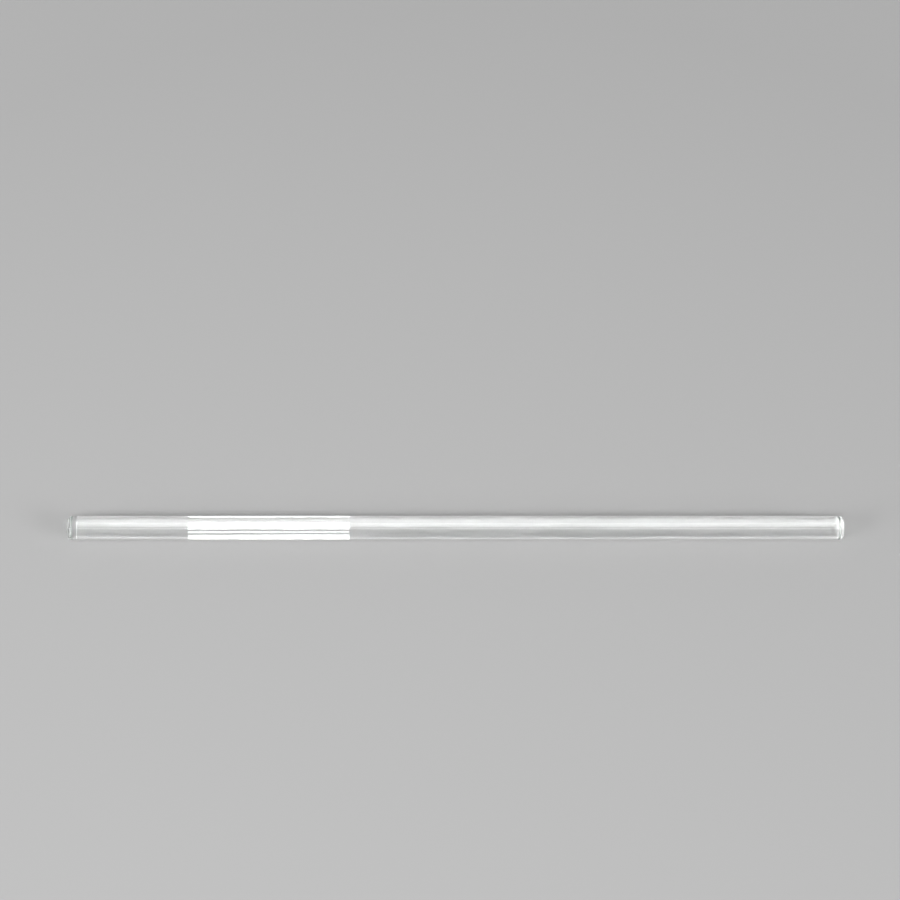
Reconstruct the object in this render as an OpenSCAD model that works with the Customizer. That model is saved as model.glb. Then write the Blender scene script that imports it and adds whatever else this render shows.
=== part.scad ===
// Glass stirring rod: one solid length of round glass with both ends fire-polished.
// The rod lies along X, with the origin on its axis at mid-length. Lengths are in millimetres.

/* [Rod] */
// Length from tip to tip
rod_length = 500; // [100:5:600]
// Diameter of the straight wall
rod_diameter = 15; // [10:0.5:24]

/* [Fire-polished ends] */
// Radius that the flame melts on the edge between the wall and the end face
shoulder_radius = 1; // [0.5:0.25:4]
// Radius of the shallow dome across the end face
dome_radius = 60; // [16:1:100]

/* [Hidden] */
$fn = 96;

// How far the blank and its cuts run past the finished surface
cut_margin = 1;
// The shoulder stands this far through the dome, so that their arcs cross and don't only touch
blend_overlap = 0.001;

rod_radius = rod_diameter / 2;
// Distance of the shoulder's centre from the rod's axis
shoulder_offset = rod_radius - shoulder_radius;
// The shoulder touches the dome from inside, so their centres lie this far apart
centre_distance = dome_radius - shoulder_radius + blend_overlap;
// Angle from the rod's axis at which the dome runs into the shoulder
blend_angle = asin(shoulder_offset / centre_distance);
// Distance from the rod's axis at which the dome runs into the shoulder
blend_offset = dome_radius * sin(blend_angle);
// Distance along the rod from the dome's centre to the shoulder's centre
shoulder_rise = centre_distance * cos(blend_angle);
// Length of one rounded end, from the straight wall to the tip
end_length = dome_radius - shoulder_rise;
wall_length = rod_length - 2 * end_length;

glass_colour = [0.86, 0.91, 0.88, 0.35];

// Half section of the glass in one rounded end, drawn from where the straight wall stops
module end_section() {
  translate([shoulder_offset, 0])
    circle(r = shoulder_radius);
  intersection() {
    translate([0, -shoulder_rise])
      circle(r = dome_radius);
    square([blend_offset, end_length + cut_margin]);
  }
}

// Half section of what fire-polishing takes off one end of a square-cut blank
module end_waste() {
  difference() {
    square([rod_radius + cut_margin, end_length + 2 * cut_margin]);
    end_section();
  }
}

// Half section of the whole rod, from its axis out to the wall
module half_section() {
  blank_length = rod_length + 2 * cut_margin;
  difference() {
    translate([0, -blank_length / 2])
      square([rod_radius, blank_length]);
    for (side = [0, 1])
      mirror([0, side])
        translate([0, wall_length / 2])
          end_waste();
  }
}

// The rod, revolved about its own axis
module rod() {
  color(glass_colour)
    rotate([0, 90, 0])
      rotate_extrude()
        half_section();
}

rod();
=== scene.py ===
"""Looks of the glass stirring rod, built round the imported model. Lengths are in metres."""

import math

import bmesh
import bpy
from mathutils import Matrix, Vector


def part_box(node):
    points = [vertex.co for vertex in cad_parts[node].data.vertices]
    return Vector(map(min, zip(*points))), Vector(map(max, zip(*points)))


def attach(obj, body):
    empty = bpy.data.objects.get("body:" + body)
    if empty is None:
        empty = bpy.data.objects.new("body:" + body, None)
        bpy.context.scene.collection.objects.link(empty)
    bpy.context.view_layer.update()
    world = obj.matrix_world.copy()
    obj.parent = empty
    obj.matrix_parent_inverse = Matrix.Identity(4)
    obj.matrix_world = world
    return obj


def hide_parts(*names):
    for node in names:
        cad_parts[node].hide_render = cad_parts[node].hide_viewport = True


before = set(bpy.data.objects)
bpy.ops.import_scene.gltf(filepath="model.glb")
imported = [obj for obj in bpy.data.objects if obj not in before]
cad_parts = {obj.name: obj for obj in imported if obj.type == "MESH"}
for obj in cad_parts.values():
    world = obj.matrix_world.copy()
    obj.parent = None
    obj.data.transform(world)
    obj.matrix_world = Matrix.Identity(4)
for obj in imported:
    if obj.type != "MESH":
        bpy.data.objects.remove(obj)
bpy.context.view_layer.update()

# The rod's sizes, from the frame
rod_low, rod_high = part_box("rod")
ROD_LENGTH = rod_high.x - rod_low.x
ROD_RADIUS = (rod_high.z - rod_low.z) / 2
# The melted edge and the shallow dome of each fire-polished end
SHOULDER_RADIUS = 0.001
DOME_RADIUS = 0.060

# How finely the rod is meshed
RING_POINTS = 192
DOME_STEPS = 14
SHOULDER_STEPS = 18
WALL_STEPS = 60

GLASS_IOR = 1.5
CLEAN_TINT = (1.0, 1.0, 1.0, 1)
# A thin haze from handling, in long patches, and the part of the noise that shows as roughness and as tint
HAZE_SCALE = (25, 120, 120)
HAZE_DETAIL = 3.0
HAZE_ROUGH_RANGE = (0.5, 0.75)
HAZE_ROUGHNESS = 0.02
HAZE_TINT_RANGE = (0.4, 0.8)
HAZE_TINT = (0.95, 0.965, 0.955, 1)
# Fine lines along the rod, from the drawing of the glass
DRAW_LINE_SCALE = (0.6, 650, 650)
DRAW_LINE_DETAIL = 2.0
DRAW_LINE_DEPTH = 0.000003
# What a long way through the glass takes from the light
DEPTH_COLOUR = (0.6, 0.72, 0.66, 1)
DEPTH_DENSITY = 1.2

FLOOR_HALF = 60.0
# The floor lies just clear of the rod, so that the two surfaces don't touch
FLOOR_GAP = 0.00002
FLOOR_ROUGHNESS = 0.9
FLOOR_SPECULAR = 0.1
# Painted light: the floor is painted paler away from the rod, to make up for the fewer lamps that reach it
# there
FLOOR_PAINTED_LIGHT_DISTANCES = (0.6, 4.0)
FLOOR_GREYS_WITH_PAINTED_LIGHT = (0.5, 0.85)

# The softboxes in front: the rod's left part mirrors the first three as a white patch
LAMP_DISTANCE = 2.5
PATCH_X = -0.5185
PATCH_WIDTH = 0.459
STRIP_WIDTH = 2.6
# Name, centre along the rod, width, lowest and highest angle seen from the rod in degrees, radiance
SOFTBOXES = [
    ("front_softbox", PATCH_X, PATCH_WIDTH, 39.5, 58, 14),
    ("overhead_softbox", PATCH_X, PATCH_WIDTH, 67.2, 73.4, 16),
    ("top_softbox", PATCH_X, PATCH_WIDTH, 76.7, 80, 16),
    ("front_strip", 0, STRIP_WIDTH, 42, 54, 2.5),
]
# The low lamps at both sides, which light up the ends, with angles in degrees
FAR_LAMP_TURN = 65
FAR_LAMP_HEIGHT = 20
FAR_LAMP_HALF_ANGLE = 11
FAR_LAMP_RADIANCE = 8
# Brightness of the studio by the sine of the height above the horizon
STUDIO_LEVELS = [(0.0, 0.85), (0.3, 0.7), (0.5, 0.3), (1.0, 0.3)]
# How often light may turn inside the rod before it is given up
LIGHT_BOUNCES = 256

# The photograph's view: the camera's distance from the rod and its height above the horizon
PICTURE_SIDE_PX = 900
FOCAL_PX = 1140
SENSOR_WIDTH_MM = 36
VIEW_DISTANCE = 0.7396
VIEW_ELEVATION = math.radians(57)
# Where the middle of the rod falls in the picture
ROD_CENTRE_PX = (455.3, 527.8)


def rod_section():
    """Half section from tip to tip: (x, radius, normal's x, normal's radial part) at each ring."""
    offset = ROD_RADIUS - SHOULDER_RADIUS
    centre_distance = DOME_RADIUS - SHOULDER_RADIUS
    blend = math.asin(offset / centre_distance)
    end_length = DOME_RADIUS - centre_distance * math.cos(blend)
    tip = ROD_LENGTH / 2
    wall_end = tip - end_length

    points = []
    for step in range(DOME_STEPS):
        angle = blend * step / DOME_STEPS
        x = tip - DOME_RADIUS + DOME_RADIUS * math.cos(angle)
        points.append((x, DOME_RADIUS * math.sin(angle), math.cos(angle), math.sin(angle)))
    for step in range(SHOULDER_STEPS + 1):
        angle = blend + (math.pi / 2 - blend) * step / SHOULDER_STEPS
        x = wall_end + SHOULDER_RADIUS * math.cos(angle)
        radius = offset + SHOULDER_RADIUS * math.sin(angle)
        points.append((x, radius, math.cos(angle), math.sin(angle)))
    wall = []
    for step in range(1, WALL_STEPS):
        x = wall_end * (1 - 2 * step / WALL_STEPS)
        wall.append((x, ROD_RADIUS, 0.0, 1.0))
    other_end = [(-x, radius, -along, out) for x, radius, along, out in reversed(points)]
    return points + wall + other_end


def rod_mesh():
    """The half section revolved about X, with the exact normal of the surface at each point."""
    mesh_maker = bmesh.new()
    rings = []
    normals = []
    for x, radius, along, out in rod_section():
        count = RING_POINTS if radius > 0 else 1
        ring = []
        for i in range(count):
            turn = 2 * math.pi * i / RING_POINTS
            across = Vector((0, math.cos(turn), math.sin(turn)))
            ring.append(mesh_maker.verts.new(Vector((x, 0, 0)) + radius * across))
            normals.append(Vector((along, 0, 0)) + out * across)
        rings.append(ring)
    for ring, following in zip(rings, rings[1:]):
        for i in range(RING_POINTS):
            j = (i + 1) % RING_POINTS
            if len(ring) == 1:
                corners = [ring[0], following[i], following[j]]
            elif len(following) == 1:
                corners = [ring[i], following[0], ring[j]]
            else:
                corners = [ring[i], following[i], following[j], ring[j]]
            mesh_maker.faces.new(corners)
    mesh = bpy.data.meshes.new("glass_rod")
    mesh_maker.to_mesh(mesh)
    mesh_maker.free()
    mesh.shade_smooth()
    mesh.normals_split_custom_set_from_vertices(normals)
    return mesh


def build_rod():
    """The rod as one piece of glass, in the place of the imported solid."""
    rod = bpy.data.objects.new("glass_rod", rod_mesh())
    bpy.context.scene.collection.objects.link(rod)
    rod.data.materials.append(glass_material())
    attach(rod, "root")
    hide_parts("rod")


def stretched_noise(tree, scale, detail):
    """Noise on the rod's own coordinates, with a scale of its own along each axis."""
    coords = tree.nodes.new("ShaderNodeTexCoord")
    mapping = tree.nodes.new("ShaderNodeMapping")
    noise = tree.nodes.new("ShaderNodeTexNoise")
    mapping.inputs["Scale"].default_value = scale
    noise.inputs["Scale"].default_value = 1.0
    noise.inputs["Detail"].default_value = detail
    tree.links.new(coords.outputs["Object"], mapping.inputs["Vector"])
    tree.links.new(mapping.outputs["Vector"], noise.inputs["Vector"])
    return noise.outputs["Fac"]


def remap(tree, value, from_range, to_range):
    """The value carried from one range to another, and held within the second."""
    node = tree.nodes.new("ShaderNodeMapRange")
    node.inputs["From Min"].default_value = from_range[0]
    node.inputs["From Max"].default_value = from_range[1]
    node.inputs["To Min"].default_value = to_range[0]
    node.inputs["To Max"].default_value = to_range[1]
    tree.links.new(value, node.inputs["Value"])
    return node.outputs["Result"]


def glass_material():
    """Clear drawn glass: fine lines along the draw, a thin handling haze and a pale green depth."""
    material = bpy.data.materials.new("clear_drawn_glass")
    material.use_nodes = True
    tree = material.node_tree
    shader = tree.nodes["Principled BSDF"]
    shader.inputs["Transmission Weight"].default_value = 1.0
    shader.inputs["IOR"].default_value = GLASS_IOR

    haze = stretched_noise(tree, HAZE_SCALE, HAZE_DETAIL)
    roughness = remap(tree, haze, HAZE_ROUGH_RANGE, (0.0, HAZE_ROUGHNESS))
    tree.links.new(roughness, shader.inputs["Roughness"])
    tint = tree.nodes.new("ShaderNodeMix")
    tint.data_type = "RGBA"
    tint.inputs["A"].default_value = CLEAN_TINT
    tint.inputs["B"].default_value = HAZE_TINT
    tree.links.new(remap(tree, haze, HAZE_TINT_RANGE, (0.0, 1.0)), tint.inputs["Factor"])
    tree.links.new(tint.outputs["Result"], shader.inputs["Base Color"])

    bump = tree.nodes.new("ShaderNodeBump")
    bump.inputs["Strength"].default_value = 1.0
    bump.inputs["Distance"].default_value = DRAW_LINE_DEPTH
    draw_lines = stretched_noise(tree, DRAW_LINE_SCALE, DRAW_LINE_DETAIL)
    tree.links.new(draw_lines, bump.inputs["Height"])
    tree.links.new(bump.outputs["Normal"], shader.inputs["Normal"])

    depth = tree.nodes.new("ShaderNodeVolumeAbsorption")
    depth.inputs["Color"].default_value = DEPTH_COLOUR
    depth.inputs["Density"].default_value = DEPTH_DENSITY
    tree.links.new(depth.outputs["Volume"], tree.nodes["Material Output"].inputs["Volume"])
    return material


def floor_material():
    """A plain matt grey, painted paler with the distance from the rod as painted light where the lamps reach
    less.
    """
    material = bpy.data.materials.new("pale_floor")
    material.use_nodes = True
    tree = material.node_tree
    shader = tree.nodes["Principled BSDF"]
    shader.inputs["Roughness"].default_value = FLOOR_ROUGHNESS
    shader.inputs["Specular IOR Level"].default_value = FLOOR_SPECULAR
    coords = tree.nodes.new("ShaderNodeTexCoord")
    distance = tree.nodes.new("ShaderNodeVectorMath")
    distance.operation = "LENGTH"
    tree.links.new(coords.outputs["Object"], distance.inputs[0])
    # Painted light: the grey pales away from the rod, standing in for the lamp light that is stronger near
    # it
    grey = remap(tree, distance.outputs["Value"], FLOOR_PAINTED_LIGHT_DISTANCES, FLOOR_GREYS_WITH_PAINTED_LIGHT)
    tree.links.new(grey, shader.inputs["Base Color"])
    return material


def build_floor():
    """A plain pale floor that the rod lies on."""
    height = -ROD_RADIUS - FLOOR_GAP
    signs = [(-1, -1), (1, -1), (1, 1), (-1, 1)]
    corners = [(x * FLOOR_HALF, y * FLOOR_HALF, height) for x, y in signs]
    mesh = bpy.data.meshes.new("floor")
    mesh.from_pydata(corners, [], [(0, 1, 2, 3)])
    floor = bpy.data.objects.new("floor", mesh)
    bpy.context.scene.collection.objects.link(floor)
    floor.data.materials.append(floor_material())


def softbox(name, centre_x, width, low_angle, high_angle, radiance):
    """A soft lamp in front, seen from the rod between two heights in degrees."""
    rise = math.radians((low_angle + high_angle) / 2)
    spread = math.radians(high_angle - low_angle)
    lamp = bpy.data.lights.new(name, "AREA")
    lamp.shape = "RECTANGLE"
    lamp.size = width
    lamp.size_y = 2 * LAMP_DISTANCE * math.tan(spread / 2)
    lamp.energy = radiance * math.pi * lamp.size * lamp.size_y
    holder = bpy.data.objects.new(name, lamp)
    holder.location = (centre_x, -LAMP_DISTANCE * math.cos(rise), LAMP_DISTANCE * math.sin(rise))
    holder.rotation_euler = (math.pi / 2 - rise, 0, 0)
    bpy.context.scene.collection.objects.link(holder)


def far_lamp(name, turn):
    """A low round lamp so far off that it lights the whole floor alike, turned from the front in degrees."""
    half_angle = math.radians(FAR_LAMP_HALF_ANGLE)
    lamp = bpy.data.lights.new(name, "SUN")
    lamp.angle = 2 * half_angle
    lamp.energy = FAR_LAMP_RADIANCE * math.pi * math.sin(half_angle) ** 2
    holder = bpy.data.objects.new(name, lamp)
    holder.rotation_euler = (math.radians(90 - FAR_LAMP_HEIGHT), 0, math.radians(turn))
    bpy.context.scene.collection.objects.link(holder)


def build_studio():
    """A plain grey world, paler towards the horizon, that fills in from all round."""
    world = bpy.data.worlds.new("studio")
    world.use_nodes = True
    tree = world.node_tree
    background = tree.nodes["Background"]
    coords = tree.nodes.new("ShaderNodeTexCoord")
    split = tree.nodes.new("ShaderNodeSeparateXYZ")
    ramp = tree.nodes.new("ShaderNodeValToRGB")
    tree.links.new(coords.outputs["Generated"], split.inputs["Vector"])
    tree.links.new(split.outputs["Z"], ramp.inputs["Fac"])
    tree.links.new(ramp.outputs["Color"], background.inputs["Color"])
    elements = ramp.color_ramp.elements
    for height, grey in STUDIO_LEVELS[1:-1]:
        elements.new(height)
    for element, (height, grey) in zip(elements, STUDIO_LEVELS):
        element.position = height
        element.color = (grey, grey, grey, 1)
    bpy.context.scene.world = world


def build_lights():
    """Softboxes in front, a low lamp far off at each side, and the studio all round."""
    for settings in SOFTBOXES:
        softbox(*settings)
    far_lamp("left_lamp", -FAR_LAMP_TURN)
    far_lamp("right_lamp", FAR_LAMP_TURN)
    build_studio()


def let_light_through():
    """Light that runs down the rod is mirrored inside it many times before it comes out."""
    cycles = bpy.context.scene.cycles
    cycles.max_bounces = LIGHT_BOUNCES
    cycles.glossy_bounces = LIGHT_BOUNCES
    cycles.transmission_bounces = LIGHT_BOUNCES
    cycles.sample_clamp_indirect = 0
    cycles.blur_glossy = 0


def build_camera():
    """The photograph's view, aimed so that the rod falls where the photograph has it."""
    centre_px = PICTURE_SIDE_PX / 2
    right_px = ROD_CENTRE_PX[0] - centre_px
    down_px = ROD_CENTRE_PX[1] - centre_px
    pitch = VIEW_ELEVATION - math.atan(down_px / FOCAL_PX)
    data = bpy.data.cameras.new("camera")
    data.sensor_width = SENSOR_WIDTH_MM
    data.lens = SENSOR_WIDTH_MM * FOCAL_PX / PICTURE_SIDE_PX
    camera = bpy.data.objects.new("camera", data)
    camera.location = (
        -right_px * VIEW_DISTANCE / FOCAL_PX,
        -VIEW_DISTANCE * math.cos(VIEW_ELEVATION),
        VIEW_DISTANCE * math.sin(VIEW_ELEVATION),
    )
    camera.rotation_euler = (math.pi / 2 - pitch, 0, 0)
    bpy.context.scene.collection.objects.link(camera)
    bpy.context.scene.camera = camera


build_rod()
build_floor()
build_lights()
let_light_through()
build_camera()
bpy.context.scene.view_settings.view_transform = "Standard"
